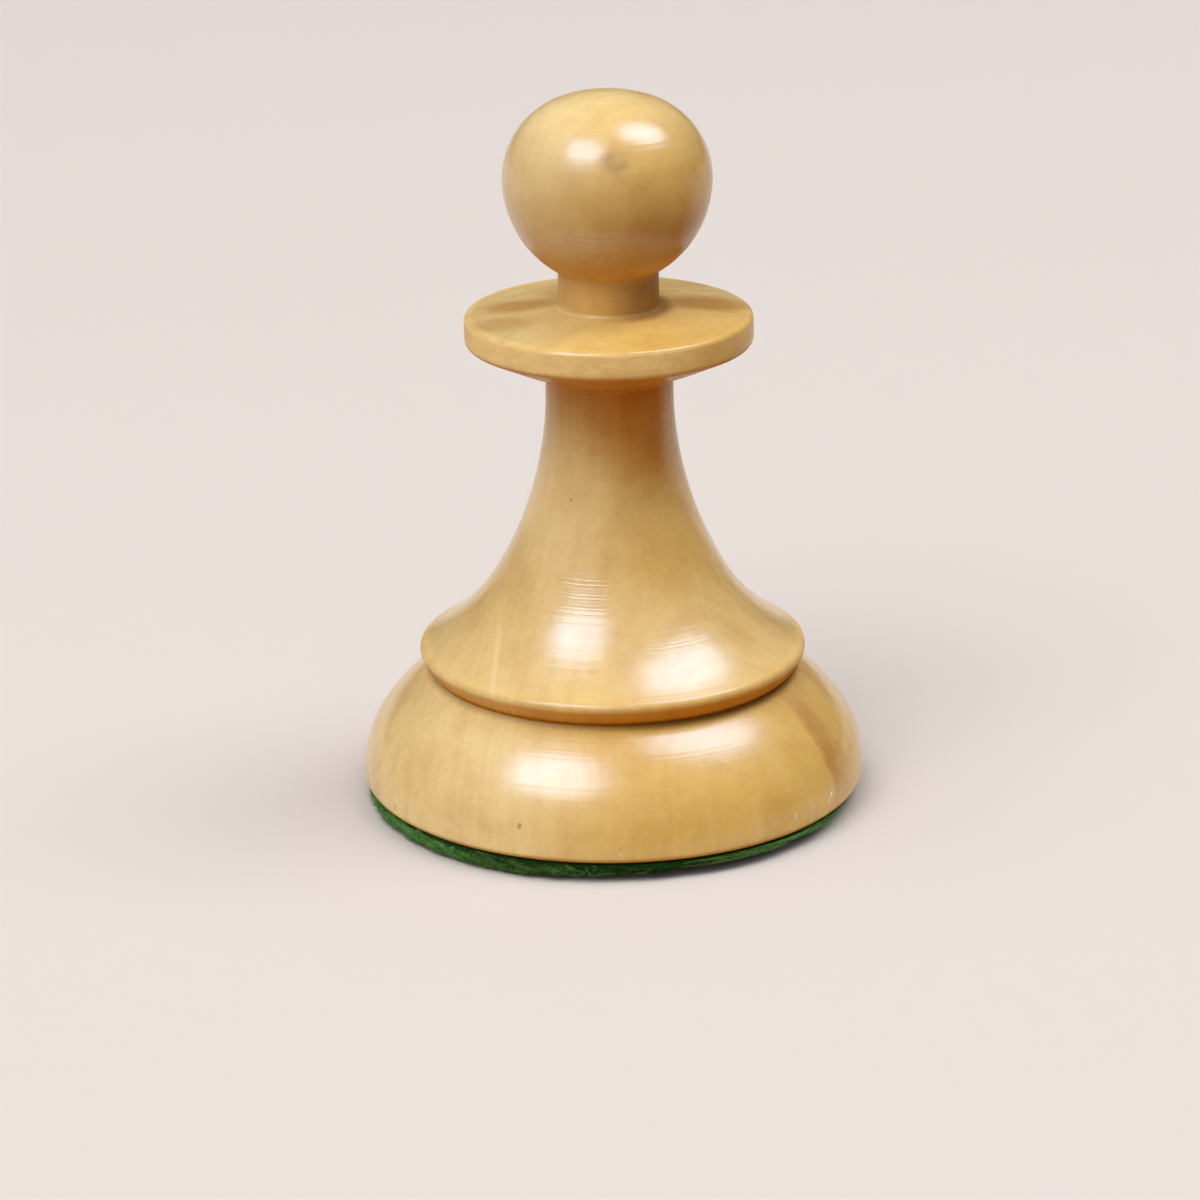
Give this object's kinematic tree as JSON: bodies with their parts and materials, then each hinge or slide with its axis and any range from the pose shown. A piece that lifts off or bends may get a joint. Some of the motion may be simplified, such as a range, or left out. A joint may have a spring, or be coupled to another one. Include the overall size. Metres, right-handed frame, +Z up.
{
  "type": "chess pawn",
  "caption": "Turned wooden chess pawn with a ball head on a flat collar, a flared stem running down to a lip, and a weighted domed base on a felt foot.",
  "frame": {"origin": "centre of the felt's underside, where the pawn stands on the board", "axes": "+Z up along the turning axis, from the foot to the crown of the head; X and Y lie in the board, and the pawn is round, so neither is special"},
  "size_m": [0.0334, 0.0334, 0.0476],
  "materials": {
    "boxwood": "gloss",
    "iron": "matte",
    "plug_wood": "matte",
    "card": "matte",
    "felt": "matte"
  },
  "bodies": {
    "root": {"turned_body": "boxwood", "weight_slug": "iron", "bore_plug": "plug_wood", "card_disc": "card", "felt_pad": "felt"}
  },
  "joints": []
}
